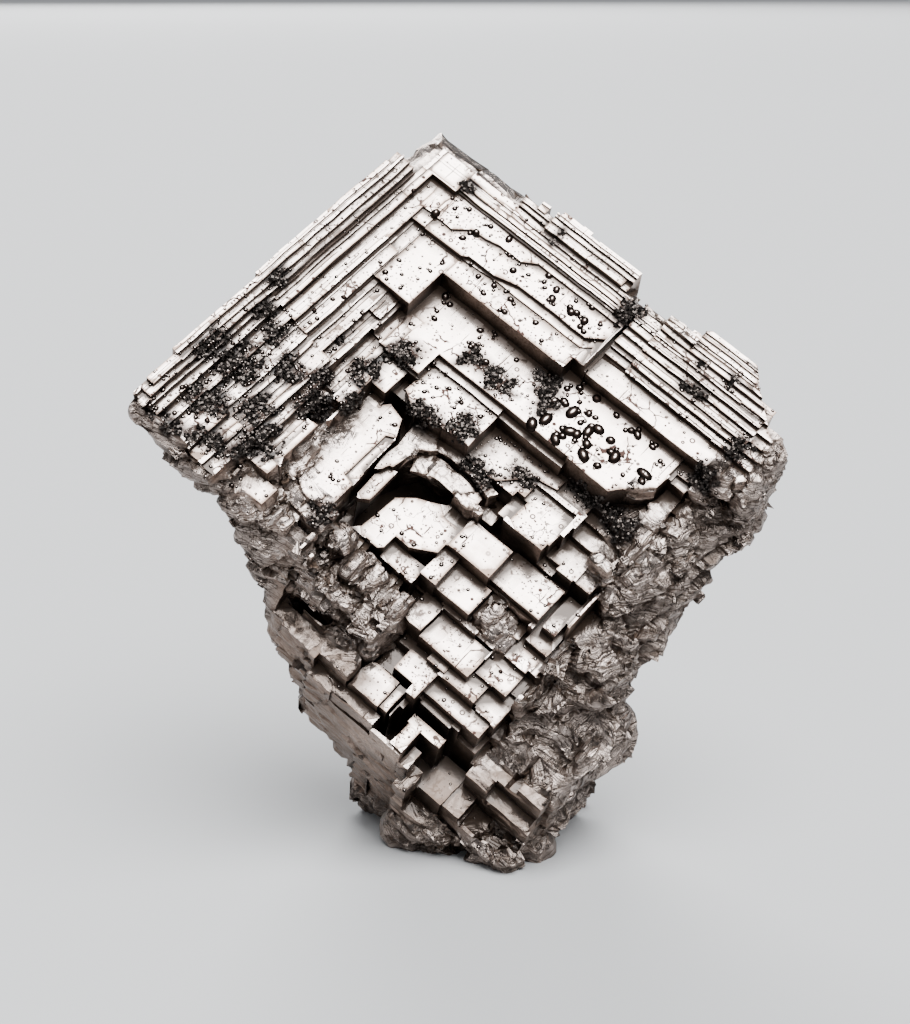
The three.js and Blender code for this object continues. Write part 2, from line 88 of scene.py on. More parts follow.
c_dir = Vector((math.sin(TERRACE_AZIMUTH) * math.cos(TERRACE_ELEVATION),
                -math.cos(TERRACE_AZIMUTH) * math.cos(TERRACE_ELEVATION),
                math.sin(TERRACE_ELEVATION)))
level_dir = Vector((0, 0, 1)).cross(c_dir).normalized()
slope_dir = c_dir.cross(level_dir)
a_dir = -level_dir * math.cos(EDGE_SPIN) - slope_dir * math.sin(EDGE_SPIN)
b_dir = c_dir.cross(a_dir)
turn = Matrix((a_dir, b_dir, c_dir)).transposed()
from_bench = Matrix.Translation(RIM_CORNER) @ turn.to_4x4() @ Matrix.Scale(MM, 4)
to_bench = from_bench.inverted()
tops = [(to_bench @ v.co).z for v in solid.data.vertices]
print("highest terrace on the bench, mm:", round(max(tops), 3))


def new_piece(name, bm):
    """Turns a bench mesh upright and makes it a piece of the group."""
    bmesh.ops.transform(bm, matrix=from_bench, verts=bm.verts)
    mesh = bpy.data.meshes.new(name)
    bm.to_mesh(mesh)
    bm.free()
    piece = bpy.data.objects.new(name, mesh)
    bpy.context.scene.collection.objects.link(piece)
    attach(piece, "root")
    print(name, "faces:", len(mesh.polygons))
    return piece


# %% [markdown]
# The camera
#
# The camera looks along +Y and a little downwards, from about 85 mm away with a 70 mm lens: a
# close-up, so the perspective matters.  A longer lens from further back would flatten the
# group's steps.

# %% Camera
CAMERA_TILT = math.radians(15.0)
CAMERA_FROM_CORNER = Vector((0.759, -85.069, 7.071)) * MM
camera_data = bpy.data.cameras.new("camera")
camera_data.lens = 70
camera_data.sensor_width = 36
camera_data.clip_start = 0.005
camera_data.clip_end = 5
camera = bpy.data.objects.new("camera", camera_data)
camera.location = RIM_CORNER + CAMERA_FROM_CORNER
camera.rotation_euler = (math.pi / 2 - CAMERA_TILT, 0, 0)
bpy.context.scene.collection.objects.link(camera)
bpy.context.scene.camera = camera
print("lens, mm:", camera_data.lens)

# %% [markdown]
# Body of the group
#
# The solid's flats and corners are perfect, and metal is not.  The copy is first cut into a grid
# along the bench's own planes, because a grid that follows the crystal axes keeps every terrace
# flat and every step straight.  Then its corners wander a little, and its torn sides a lot.

# %% Copy the solid
body = bmesh.new()
body.from_mesh(solid.data)
bmesh.ops.transform(body, matrix=to_bench, verts=body.verts)
bmesh.ops.remove_doubles(body, verts=body.verts, dist=0.004)
bmesh.ops.dissolve_limit(body, angle_limit=math.radians(0.4), verts=body.verts, edges=body.edges)
print("the solid's flats:", len(body.faces))

# %% Cutting along the crystal planes
TOUCHING = 0.002  # a cut this close to a corner is left out


def slice_mesh(bm, axis, where, keep=lambda face: True):
    """Cuts the chosen faces with planes square to one bench axis, working along that axis."""
    normal = Vector((0, 0, 0))
    normal[axis] = 1

    def reach(face):
        along = [v.co[axis] for v in face.verts]
        return min(along), max(along)

    waiting = sorted(((reach(f), i, f) for i, f in enumerate(bm.faces) if keep(f)), reverse=True)
    active = []
    for place in where:
        while waiting and waiting[-1][0][0] < place:
            active.append(waiting.pop()[2])
        active = [f for f in active if reach(f)[1] > place + TOUCHING]
        crossed = [f for f in active if reach(f)[0] < place - TOUCHING]
        if not crossed:
            continue
        cutting = set(crossed)
        untouched = [f for f in active if f not in cutting]
        geometry = list(dict.fromkeys(v for f in crossed for v in f.verts))
        geometry += list(dict.fromkeys(e for f in crossed for e in f.edges)) + crossed
        point = Vector((0, 0, 0))
        point[axis] = place
        cut = bmesh.ops.bisect_plane(bm, geom=geometry, dist=0.001, plane_co=point, plane_no=normal)
        active = [g for g in cut["geom"] if isinstance(g, bmesh.types.BMFace)] + untouched


def places(start, stop, step, seed, wander=0.3):
    """Cut places about one step apart, each a little off, so that the grid isn't even."""
    rng = random.Random(seed)
    count = round((stop - start) / step)
    return [start + step * (i + wander * (rng.random() - 0.5)) for i in range(count + 1)]


# %% Coarse cuts
COARSE_CUT = 0.45
slice_mesh(body, 0, places(-1.2, 19, COARSE_CUT, 1))
slice_mesh(body, 1, places(-0.8, 21, COARSE_CUT, 2))
print("after the coarse cuts:", len(body.faces))

# %% [markdown]
# Growth lines
#
# On the rims the terraces are crossed by many low steps, finer than the measured solid holds.
# Each pair of close cuts makes the riser of one such step, and the strip between two risers is
# lifted or dropped a little.  A bump map could fake them, but real risers catch the light from
# every side.

# %% Where the growth lines are
RISER = 0.011  # half the width of a riser
LIFT = 1.6  # noise seldom reaches 1, so the heights are stretched
GROWTH_LINES = (
    # axis, from, to, spacing, box along a, b and c, height of the steps, seed
    (1, -0.95, 2.1, 0.15, ((1.7, 17.2), (-1.1, 2.15), (-0.9, 1.0)), 0.036, 11),
    (1, 2.2, 4.6, 0.24, ((6.4, 16.5), (2.1, 4.8), (-2.0, -0.5)), 0.04, 12),
    (0, -1.0, 0.85, 0.14, ((-1.3, 0.9), (4.0, 10.6), (-0.4, 0.7)), 0.034, 13),
    (0, -1.1, 2.4, 0.15, ((-1.2, 2.5), (11.2, 17.6), (-1.3, 0.7)), 0.034, 14),
    (0, -0.5, 1.0, 0.2, ((-0.4, 1.0), (0.1, 4.6), (-0.5, 0.4)), 0.024, 15),
)


# %% Fine steps along the rims
def fine_steps(bm, axis, start, stop, spacing, box, height, seed):
    """Low steps that run square to one axis, on the terraces inside a box of the bench."""
    rng = random.Random(seed)
    lines = []
    at = start
    while at < stop:
        lines.append(at)
        at += spacing * rng.uniform(0.55, 1.45)

    def inside(face):
        p = face.calc_center_median()
        return face.normal.z > 0.9 and all(low < v < high for v, (low, high) in zip(p, box))

    bm.normal_update()
    pairs = sorted([p - RISER for p in lines] + [p + RISER for p in lines])
    slice_mesh(bm, axis, pairs, inside)
    bm.normal_update()
    moved = dict.fromkeys(v for f in bm.faces if inside(f) for v in f.verts)
    other = 1 - axis
    for vert in moved:
        strip = sum(1 for p in lines if vert.co[axis] > p)
        shift = 3 * noise.noise(Vector((strip * 5.3, seed, 0.7)))
        stretch = math.floor(vert.co[other] * 0.16 + shift)
        level = noise.noise(Vector((strip * 7.31 + seed, 0.37, 0.5)))
        level += 0.6 * noise.noise(Vector((strip * 3.77, stretch * 1.83, seed)))
        vert.co.z += height * level * LIFT


for growth_line in GROWTH_LINES:
    fine_steps(body, *growth_line)
print("after the growth lines:", len(body.faces))

# %% [markdown]
# Torn sides
#
# Where the group was broken from its neighbours the metal tore along thin layers.  Those sides
# are found by where they lie on the bench, and the back by the way its walls face.


# %% Where the group is torn
def ramp(value, start, stop):
    return min(1.0, max(0.0, (value - start) / (stop - start)))


def torn(p):
    """How torn the group is at a bench point: 0 on a clean terrace, 1 on a broken side.

    Every value is one place, fenced in along a, b and c by ramps.
    """
    # the whole right side, and the piece of it that reaches in towards the steps
    right = ramp(p.y, 17.3, 17.9) * ramp(p.x, 2.6, 3.6) * (1.0 - 0.85 * ramp(p.x, 15.4, 16.0))
    reach_in = 0.7 * ramp(p.y, 15.4, 16.4) * ramp(p.x, 5.0, 6.0) * ramp(9.3, p.x, p.x + 0.8)
    right = max(right, reach_in)
    # the far end of the right limb
    end = ramp(p.y - 0.1 * p.x, 18.5, 18.9) * (1.0 - 0.7 * ramp(p.x, 15.4, 16.0))
    # the left side: much torn under the left limb, less so on the block that stands out
    left = ramp(p.x - 0.05 * p.z, 17.35, 17.7) * ramp(12.6 - p.y, 0, 1.0)
    left *= 1.0 - 0.72 * ramp(p.y, 6.9, 7.5)
    left = max(left, 0.25 * ramp(p.x, 18.4, 18.6))
    # the slope below the left limb
    flank = ramp(-p.z - 0.55 * max(0.0, p.y - 3.0), 0.9, 1.6) * ramp(p.x, 9.0, 12.0)
    flank *= ramp(7.4 - p.y, 0, 0.8)
    # the swollen part between the left limb and the small blocks
    belly = ramp(p.x, 13.9, 14.6) * ramp(p.y, 5.3, 6.0) * ramp(12.3 - p.y, 0, 0.6)
    belly *= 0.75 * ramp(-p.z, 2.4, 3.0) * (1.0 - ramp(p.x, 17.0, 17.3) * ramp(p.y, 6.9, 7.4))
    # the arch, a little
    arch = 0.3 * ramp(p.x, 8.8, 9.4) * ramp(10.7 - p.x, 0, 0.4) * ramp(p.y, 6.6, 7.2)
    arch *= ramp(12.0 - p.y, 0, 0.4) * ramp(-p.z, 2.5, 2.9)
    # one small block among the steps that is rough all over
    rock = 0.8 * ramp(p.x, 11.6, 11.9) * ramp(13.4 - p.x, 0, 0.3) * ramp(p.y, 13.95, 14.1)
    rock *= ramp(15.7 - p.y, 0, 0.3)
    # the foot, by its height above the floor
    foot = 0.8 * ramp((from_bench @ p).z / MM, 2.2, 1.2)
    # the outer edges at the upper corner and at the left shoulder
    corner = 0.35 * max(ramp(0.0 - p.y, 0, 0.3) * ramp(1.7 - p.x, 0, 0.3),
                        ramp(-0.25 - p.x, 0, 0.3) * ramp(4.7 - p.y, 0, 0.4))
    shoulder = 0.4 * ramp(0.2 - p.x, 0, 0.4) * ramp(p.y, 11.3, 11.7) * ramp(13.4 - p.y, 0, 0.3)
    return max(right, end, left, flank, belly, arch, rock, foot, corner, shoulder)


def calm(p):
    """1 on the left side, where the break is flatter than elsewhere, and 0 on the others."""
    return ramp(p.x, 16.0, 16.8) * ramp(p.y, 7.9, 7.3)


# %% Where the back is torn
whole_shape = BVHTree.FromBMesh(body)
OUT_BACK = Vector((-1, -1, -0.3)).normalized()


def behind(normal, p):
    """The same for the back, where the outer walls face away: it starts a little below the rim."""
    away = ramp(max(-normal.x, -normal.y, -normal.z), 0.25, 0.5)
    ragged = 0.5 * noise.noise(p * 0.8)
    amount = away * ramp(-p.z + ragged, 0.7, 1.7)
    if amount > 0 and whole_shape.ray_cast(p + 0.02 * normal + 0.02 * OUT_BACK, OUT_BACK)[0]:
        return 0.0  # a wall inside the hopper, not an outer one
    return amount


# %% Which faces that means, and the cuts along c
def is_torn(face):
    return torn(face.calc_center_median()) > 0.12


def torn_front(face):
    """Torn, and not turned so far away that only the back shows it."""
    n = face.normal
    return n.x > -0.3 and n.y > -0.3 and n.z > -0.5 and is_torn(face)


def torn_side(face):
    return face.normal.z < 0.8 and torn_front(face)


def torn_back(face):
    return behind(face.normal, face.calc_center_median()) > 0.1


slice_mesh(body, 2, places(-18, 0.6, COARSE_CUT, 9), is_torn)
slice_mesh(body, 2, places(-18, 0.6, COARSE_CUT, 9), torn_back)
bmesh.ops.triangulate(body, faces=[f for f in body.faces if len(f.verts) > 4])
body.normal_update()
torn_mark = body.verts.layers.float.new("torn")
for vert in body.verts:
    vert[torn_mark] = max(torn(vert.co), behind(vert.normal, vert.co))
print("after the cuts along c:", len(body.faces))

# %% [markdown]
# Slopes on the torn sides
#
# A break doesn't follow the terraces: it runs across them as a rough slope.  Smoothing the
# corners there, again and again, melts the solid's large steps into such slopes.  Sculpting
# them by hand is the other way; smoothing keeps to the shape that was measured.

# %% Melt the steps of the torn sides
MELTING = (
    # how torn a corner must be, whether only the left side is meant, how often it is smoothed
    (0.35, False, 1), (0.55, False, 3), (0.85, False, 9), (0.5, True, 14),
)
for least, left_only, rounds in MELTING:
    soft = [v for v in body.verts if v[torn_mark] > least and (from_bench @ v.co).z > 0.05 * MM]
    if left_only:
        soft = [v for v in soft if calm(v.co) > 0.5]
    for _ in range(rounds):
        bmesh.ops.smooth_vert(body, verts=soft, factor=0.5,
                              use_axis_x=True, use_axis_y=True, use_axis_z=True)
    print("corners smoothed", rounds, "times:", len(soft))
body.normal_update()

# %% [markdown]
# Fine cuts
#
# The slopes are now cut much finer, so that the tearing has small corners to push about.

# %% Fine cuts on the torn sides
FRONT_CUT, FRONT_LAYER = 0.17, 0.13
BACK_CUT, BACK_LAYER = 0.24, 0.26
slice_mesh(body, 0, places(-1.2, 20, FRONT_CUT, 3), torn_front)
slice_mesh(body, 1, places(-0.8, 21.4, FRONT_CUT, 4), torn_front)
slice_mesh(body, 2, places(-18, 0.6, FRONT_LAYER, 5), torn_side)
slice_mesh(body, 0, places(-1.2, 20, BACK_CUT, 7), torn_back)
slice_mesh(body, 1, places(-0.8, 21.4, BACK_CUT, 8), torn_back)
slice_mesh(body, 2, places(-18, 0.6, BACK_LAYER, 6), torn_back)
print("after the fine cuts:", len(body.faces))
bmesh.ops.triangulate(body, faces=[f for f in body.faces if len(f.verts) > 4])
body.normal_update()

# %% [markdown]
# Wander and tear
#
# Noise textures move the corners: a small slow drift everywhere, so that no step is ruled
# straight and no two terraces lie quite parallel.  A broken side is made of small flat faces,
# so there each cell of a Voronoi pattern is pushed out as one tilted flat, at two sizes, with
# thin layers along c on top, which is how bismuth splits.

# %% Wander and tear
LAYER = 0.26       # how thick a torn layer is
WIDE_FLAT = 1.9    # size of the large flats of a break
SMALL_FLAT = 0.8   # and of the small ones


def facets(p, size, salt):
    """How far the flat face of a break stands out at p: every Voronoi cell is one flat."""
    q = Vector((p.x, p.y, 2.3 * p.z)) / size + salt
    centre = noise.voronoi(q)[1][0]
    rise = noise.noise(centre * 13.7)
    tilt = noise.noise_vector(centre * 7.9)
    return size * (rise + 1.6 * tilt.dot(q - centre))


places_after = []
for vert in body.verts:
    p = vert.co.copy()
    flat = Vector((p.x, p.y, 0.6 * p.z))
    drift = noise.noise_vector(flat * 0.9)
    fine = noise.noise_vector(flat * 3.1 + Vector((7, 3, 1)))
    tilt = noise.noise(Vector((0.42 * p.x, 0.42 * p.y, 1.6 * p.z + 20)))
    move = Vector((0.03 * drift.x + 0.018 * fine.x, 0.03 * drift.y + 0.018 * fine.y, 0.07 * tilt))
    amount = vert[torn_mark]
    if amount > 0:
        bend = 0.8 * noise.noise(p * 0.35 + Vector((1, 8, 2)))
        layer = 5.17 * math.floor((p.z + bend) / LAYER)
        sheet = noise.noise(Vector((0.45 * p.x, 0.45 * p.y, layer)))
        sheet += 0.5 * noise.noise(Vector((1.6 * p.x, 1.6 * p.y, layer + 3)))
        flat_wide = facets(p, WIDE_FLAT, Vector((3, 1, 2)))
        flat_small = facets(p, SMALL_FLAT, Vector((8, 2, 5)))
        push = 0.3 * flat_wide + 0.14 * flat_small + 0.24 * sheet + 0.12
        push *= 1.0 - 0.45 * calm(p)
        outwards = sum((f.normal for f in vert.link_faces), Vector()).normalized()
        move += outwards * amount * push + noise.noise_vector(p * 4.0) * 0.02 * amount
    places_after.append(p + move)
for vert, place in zip(body.verts, places_after):
    vert.co = place
print("corners moved:", len(places_after))

# nothing sinks below the floor, and what nearly reaches it stands on it
STANDS = 0.04 * MM
for vert in body.verts:
    stand = from_bench @ vert.co
    if stand.z < STANDS:
        stand.z = 0.0
        vert.co = to_bench @ stand
body.normal_update()

# %% [markdown]
# Marks for the finish
#
# Marks on the mesh steer the finish.  Flank is 1 on a step wall and 0 on a terrace, rim is 1
# along the edge of a terrace, torn is 1 on a broken side, inner is 1 down in the hopper, and
# bronze is 1 near the foot and on the block that stands out at the left, where the colour is
# made darker and browner.  Hollow says how shut in a place is: rays are shot from each face
# corner, and the share that meets metal close by is the mark.  The colour is darkened there:
# partly tarnish, partly painted shade.

# %% Names of the marks, and the rays for the hollows
surface = BVHTree.FromBMesh(body)
flank_mark = body.faces.layers.float.new("flank")
inner_mark = body.verts.layers.float.new("inner")
bronze_mark = body.verts.layers.float.new("bronze")
hollow_mark = body.loops.layers.float.new("hollow")
rim_mark = body.loops.layers.float.new("rim")
RAYS = 10
REACH = 2.2  # how far off metal still shuts a place in
LEVEL = 0.75  # a face whose normal rises less than this is a step wall
TURN = 2.39996  # the golden angle spreads the rays evenly
spread = []
for ring in range(RAYS):
    height = 0.25 + 0.7 * (ring + 0.5) / RAYS
    angle = ring * TURN
    radius = math.sqrt(1 - height * height)
    spread.append(Vector((radius * math.cos(angle), radius * math.sin(angle), height)))

# %% The marks themselves
for vert in body.verts:
    p = vert.co
    vert[inner_mark] = ramp(-p.z, 1.9, 2.7)
    standing = ramp(p.x, 17.0, 17.3) * ramp(p.y, 6.9, 7.5) * ramp(13.4 - p.y, 0, 1.2)
    # bronze: 1 below about 5 mm above the floor and on the block that stands out at the left
    vert[bronze_mark] = max(ramp((from_bench @ p).z / MM, 5.0, 4.3), standing)
for face in body.faces:
    face.smooth = True
    wall = face.normal.z < LEVEL
    face[flank_mark] = 1.0 if wall else 0.0
    edge_here = [not wall and any(f.normal.z < LEVEL for f in v.link_faces) for v in face.verts]
    if all(edge_here):
        edge_here = [False for _ in edge_here]
    basis = face.normal.to_track_quat("Z", "Y").to_matrix()
    rays = [basis @ ray for ray in spread]
    centre = face.calc_center_median()
    for loop, on_edge in zip(face.loops, edge_here):
        loop[rim_mark] = 1.0 if on_edge else 0.0
        start = loop.vert.co.lerp(centre, 0.12) + face.normal * 0.01
        shut = 0.0
        for ray in rays:
            distance = surface.ray_cast(start, ray, REACH)[3]
            if distance is not None:
                shut += 1.0 - distance / REACH
        loop[hollow_mark] = shut / RAYS
print("walls:", sum(1 for face in body.faces if face[flank_mark] > 0.5), "of", len(body.faces))

# %% [markdown]
# Where small things go
#
# Beads and grains are placed by the bench's a and b.  The group is deep, though, so each place
# is looked up along the line of sight from the front, which keeps a patch together where it
# runs over several steps.

# %% Finding the surface, and collecting small shapes
camera_bench = to_bench @ camera.location


def seen_from_front(a, b):
    """The place on the group that is seen through bench point (a, b, 0), and its normal."""
    way = (Vector((a, b, 0)) - camera_bench).normalized()
    return surface.ray_cast(camera_bench, way)[:2]


class Heap:
    """Collects many small shapes: they are made in small batches, which is much quicker."""

    def __init__(self):
        self.whole = bmesh.new()
        self.batch = bmesh.new()
        self.count = 0

    def made(self):
        self.count += 1
        if self.count % 50 == 0:
            self.pour()

    def pour(self):
        carrier = bpy.data.meshes.new("carrier")
        self.batch.to_mesh(carrier)
        self.whole.from_mesh(carrier)
        bpy.data.meshes.remove(carrier)
        self.batch.clear()


# %% [markdown]
# Beads of metal
#
# Drops of melt clung to the terraces when the rest drained away, and set as low domes.  Each is
# a squashed ball, a little sunk into the terrace, and a large one often has a smaller one grown
# on to its side.  Small ones also sit in the crusts of the next step, so the list of those
# patches comes first.

# %% Where the crusts and the beads are
CRUSTS = [
    # a, b as seen from the front, reach along a and along b, and how dense
    (0.5, 2.1, 0.35, 0.4, 1.0), (-0.3, 6.4, 0.5, 0.2, 1.0), (0.4, 10.9, 0.9, 0.6, 1.2),
    (9.4, -0.4, 0.6, 0.45, 1.0), (10.8, 0.3, 0.6, 0.5, 1.0), (11.3, 1.3, 0.6, 0.7, 1.0),
    (12.2, 2.7, 0.8, 0.7, 1.0), (13.4, 1.2, 1.1, 1.0, 0.9), (13.4, -0.2, 0.9, 0.6, 0.8),
    (14.4, 3.2, 0.9, 0.8, 1.0), (15.3, 4.2, 1.0, 0.9, 0.9), (15.4, 1.6, 0.8, 1.2, 0.7),
    (8.5, 5.5, 0.8, 0.8, 1.3), (10.2, 5.0, 0.8, 0.6, 1.2), (12.6, 4.6, 0.9, 0.8, 1.0),
    (6.7, 7.6, 0.6, 0.6, 1.2), (6.7, 9.2, 0.7, 0.9, 1.2), (6.0, 11.0, 0.9, 0.6, 1.2),
    (5.3, 10.5, 0.5, 0.7, 1.0), (9.3, 9.5, 0.8, 0.7, 1.1), (10.0, 7.9, 0.6, 0.9, 1.1),
    (2.4, 18.0, 0.8, 0.7, 0.9), (4.4, 17.6, 0.7, 0.9, 1.0), (1.6, 15.2, 0.3, 0.8, 0.6),
    (0.1, 16.0, 0.5, 0.2, 0.7), (0.4, 14.5, 0.3, 0.3, 0.6), (16.0, 8.0, 0.7, 0.6, 1.0),
    (16.6, 3.0, 0.5, 1.2, 0.8), (8.3, 15.0, 0.5, 1.2, 1.0), (8.4, 16.6, 0.8, 0.7, 1.0),
    (11.6, 4.0, 0.5, 0.6, 1.0), (17.2, 1.2, 0.4, 1.2, 0.7), (11.6, 5.6, 0.7, 0.4, 0.9),
    (9.6, 3.4, 0.5, 0.3, 0.6), (10.4, 11.2, 0.7, 1.0, 0.8), (9.4, 12.6, 0.5, 0.8, 0.8),
]
BEAD_FIELDS = [
    # a from, to, b from, to, how many, smallest and largest radius
    (1.7, 17.5, -1.2, 0.5, 230, 0.03, 0.085),
    (1.2, 16.5, 0.6, 2.2, 120, 0.035, 0.12),
    (3.3, 6.3, 2.3, 3.9, 16, 0.07, 0.17),
    (1.1, 2.7, 1.8, 6.5, 34, 0.05, 0.19),
    (1.3, 2.7, 6.5, 10.8, 34, 0.07, 0.22),
    (1.1, 2.7, 2.0, 10.8, 60, 0.03, 0.09),
    (3.2, 4.1, 4.2, 10.6, 34, 0.05, 0.16),
    (-0.8, 0.7, 4.6, 10.4, 45, 0.03, 0.10),
    (4.9, 6.6, 4.6, 10.4, 48, 0.05, 0.18),
    (4.3, 7.4, 11.2, 16.3, 90, 0.06, 0.27),
    (-0.9, 3.9, 11.5, 18.6, 90, 0.035, 0.11),
    (7.8, 9.8, 6.6, 10.0, 90, 0.045, 0.13),
    (8.0, 10.0, 10.4, 14.0, 80, 0.035, 0.11),
    (10.5, 16.8, 6.0, 8.4, 50, 0.035, 0.13),
    (6.6, 13.0, 2.2, 5.0, 70, 0.035, 0.12),
    (13.0, 17.0, 9.0, 13.0, 60, 0.035, 0.12),
    (11.0, 21.5, 12.5, 19.5, 240, 0.03, 0.10),
    (19.5, 23.0, 15.0, 24.0, 60, 0.03, 0.09),
    (10.0, 18.0, -0.6, 6.0, 480, 0.035, 0.12),
]

# %% One bead
random_beads = random.Random(21)
beads = Heap()


def add_bead(a, b, radius):
    """Sets one squashed ball on the terrace that is seen at (a, b), unless the ground is steep."""
    stretch = random_beads.uniform(0.85, 1.0 + 2.5 * radius)
    turn_by = random_beads.uniform(0, math.tau)
    place, normal = seen_from_front(a, b)
    if place is None or normal.z < 0.93:
        return
    shape = Matrix.Translation(place - Vector((0, 0, 0.1 * radius)))
    shape = shape @ Matrix.Rotation(turn_by, 4, "Z")
    shape = shape @ Matrix.Diagonal((radius * stretch, radius, radius * 0.6, 1))
    around, down = (12, 6) if radius > 0.1 else (8, 4)
    bmesh.ops.create_uvsphere(beads.batch, u_segments=around, v_segments=down, radius=1,
                              matrix=shape)
    beads.made()


# %% All the beads
for a0, a1, b0, b1, count, small, large in BEAD_FIELDS:
    for _ in range(count):
        a, b = random_beads.uniform(a0, a1), random_beads.uniform(b0, b1)
        radius = small + (large - small) * random_beads.random() ** 2.0
        add_bead(a, b, radius)
        if radius > 0.1 and random_beads.random() < 0.4:
            way = random_beads.uniform(0, math.tau)
            beside = 1.3 * radius
            add_bead(a + beside * math.cos(way), b + beside * math.sin(way), 0.7 * radius)
CRUST_BEADS_PER_MM2 = 26
for a_mid, b_mid, reach_a, reach_b, _ in CRUSTS:
    for _ in range(int(CRUST_BEADS_PER_MM2 * math.pi * reach_a * reach_b)):
        off, way = 1.15 * random_beads.random() ** 0.6, random_beads.uniform(0, math.tau)
        radius = 0.03 + 0.07 * random_beads.random() ** 1.6
        a, b = a_mid + reach_a * off * math.cos(way), b_mid + reach_b * off * math.sin(way)
        add_bead(a, b, radius)
beads.pour()

# a bead's side is painted dark, as shade, and only its top keeps the bright metal
bead_shade = beads.whole.verts.layers.float.new("bead_shade")
beads.whole.normal_update()
for vert in beads.whole.verts:
    vert[bead_shade] = ramp(0.99 - vert.normal.z, 0.0, 0.05)
for face in beads.whole.faces:
    face.smooth = True
print("beads:", beads.count)
bead_piece = new_piece("metal_beads", beads.whole)

# %% [markdown]
# Crusts of tiny crystals
#
# In the hollows and along the left limb sit crusts of tiny dark crystals.  Each grain is a small
# block, turned at random.  A noise field gives the patches their ragged outline.

# %% Crusts
GRAINS_PER_MM2 = 300
random_crusts = random.Random(34)
crust = Heap()
grain_places = []
for a_mid, b_mid, reach_a, reach_b, density in CRUSTS:
    for _ in range(int(GRAINS_PER_MM2 * density * math.pi * reach_a * reach_b)):
        off = random_crusts.random() ** 0.55
        angle = random_crusts.uniform(0, math.tau)
        a, b = a_mid + reach_a * off * math.cos(angle), b_mid + reach_b * off * math.sin(angle)
        size = random_crusts.uniform(0.018, 0.05)
        tilt = Euler([random_crusts.uniform(0, math.tau) for _ in range(3)]).to_matrix().to_4x4()
        lift = random_crusts.uniform(-0.2, 1.6) * size
        patch = noise.noise(Vector((1.9 * a, 1.9 * b, 0)))
        patch += 0.5 * noise.noise(Vector((5 * a, 5 * b, 4)))
        if 1.0 - off + 1.2 * patch < 0.30:
            continue
        place, normal = seen_from_front(a, b)
        if place is None:
            continue
        shape = Matrix.Translation(place + normal * lift) @ tilt
        shape = shape @ Matrix.Diagonal((2 * size, 1.7 * size, 2.4 * size, 1))
        bmesh.ops.create_cube(crust.batch, size=1, matrix=shape)
        crust.made()
        grain_places.append(place)
crust.pour()
print("grains:", crust.count)
crust_piece = new_piece("crystal_crust", crust.whole)

# %% Dirt between and around the grains
DIRT_REACH = 0.26
GRAINS_FOR_FULL_DIRT = 9
grain_tree = KDTree(len(grain_places))
for index, place in enumerate(grain_places):
    grain_tree.insert(place, index)
grain_tree.balance()
dirty_mark = body.verts.layers.float.new("dirty")
for vert in body.verts:
    near = len(grain_tree.find_range(vert.co, DIRT_REACH))
    vert[dirty_mark] = min(1.0, near / GRAINS_FOR_FULL_DIRT)
print("dirty corners:", sum(1 for vert in body.verts if vert[dirty_mark] > 0.5))

# %% [markdown]
# Flakes on the torn sides
#
# The torn metal ends in small books of thin leaves, most of them level with the terraces.  A
# leaf is a thin block, a book is a stack of leaves that slip over one another, and a noise
# texture then bends the corners so that no leaf is square.

# %% Flakes
BOOKS = 150
CLEAR_OF_FLOOR = 0.9 * MM
random_flakes = random.Random(55)
flakes = Heap()
sides = [f for f in body.faces if torn_front(f) and torn(f.calc_center_median()) > 0.6]
sizes = [f.calc_area() for f in sides]
for face in random_flakes.choices(sides, weights=sizes, k=BOOKS):
    place = face.calc_center_median()
    spin = random_flakes.gauss(0, 0.3) + (math.pi / 2 if random_flakes.random() < 0.4 else 0)
    lean = Euler((random_flakes.gauss(0, 0.16), random_flakes.gauss(0, 0.16), spin)).to_matrix()
    long = random_flakes.uniform(0.25, 0.65)
    wide = random_flakes.uniform(0.2, 0.4)
    leaves = random_flakes.randint(2, 6)
    pitch = random_flakes.uniform(0.045, 0.085)
    if (from_bench @ place).z < CLEAR_OF_FLOOR:
        continue
    for leaf in range(leaves):
        slip = Vector((random_flakes.gauss(0, 0.06), random_flakes.gauss(0, 0.06), leaf * pitch))
        shape = Matrix.Translation(place - 0.16 * face.normal) @ lean.to_4x4()
        shape = shape @ Matrix.Translation(slip - Vector((0, 0, 0.5 * leaves * pitch)))
        shape = shape @ Matrix.Diagonal((long, wide, 0.8 * pitch, 1))
        bmesh.ops.create_cube(flakes.batch, size=1, matrix=shape)
        flakes.made()
flakes.pour()

# %% Bend the leaves and keep them off the floor
for vert in flakes.whole.verts:
    vert.co += noise.noise_vector(vert.co * 2.6) * 0.11
    stand = from_bench @ vert.co
    if stand.z < STANDS:
        stand.z = STANDS
        vert.co = to_bench @ stand

# a leaf is nearly as torn as the side it stands on
flake_torn = flakes.whole.verts.layers.float.new("torn")
for vert in flakes.whole.verts:
    vert[flake_torn] = 0.85
print("leaves:", flakes.count)
flake_piece = new_piece("torn_flakes", flakes.whole)

# %% The body becomes a piece
group = new_piece("hopper_group", body)
# the copy brought the solid's stored normals along, which would hide its new sharp edges
group.data.attributes.remove(group.data.attributes["custom_normal"])
group.data.set_sharp_from_angle(angle=math.radians(24))
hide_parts("bismuth")


# %% [markdown]
# Finish of the metal
#
# The group is one metal throughout, so it has one material.  What changes from place to place
# is how clean, torn or tarnished the metal is, and the marks on the mesh say that.  A painted
# image is the usual way to do this.  Noise and Voronoi patterns on the crystal's own axes need
# no image, never stretch on a steep wall and keep their true size in millimetres.

# %% Helpers for node trees
def link(tree, value, socket):
    """Plugs a socket in, or sets a plain value."""
    if isinstance(value, bpy.types.NodeSocket):
        tree.links.new(value, socket)
    else:
        socket.default_value = value


def node(tree, kind, out, **inputs):
    """Adds a node and gives back one of its outputs."""
    made = tree.nodes.new(kind)
    for name, value in inputs.items():
        link(tree, value, made.inputs[name.replace("_", " ")])
    return made.outputs[out]


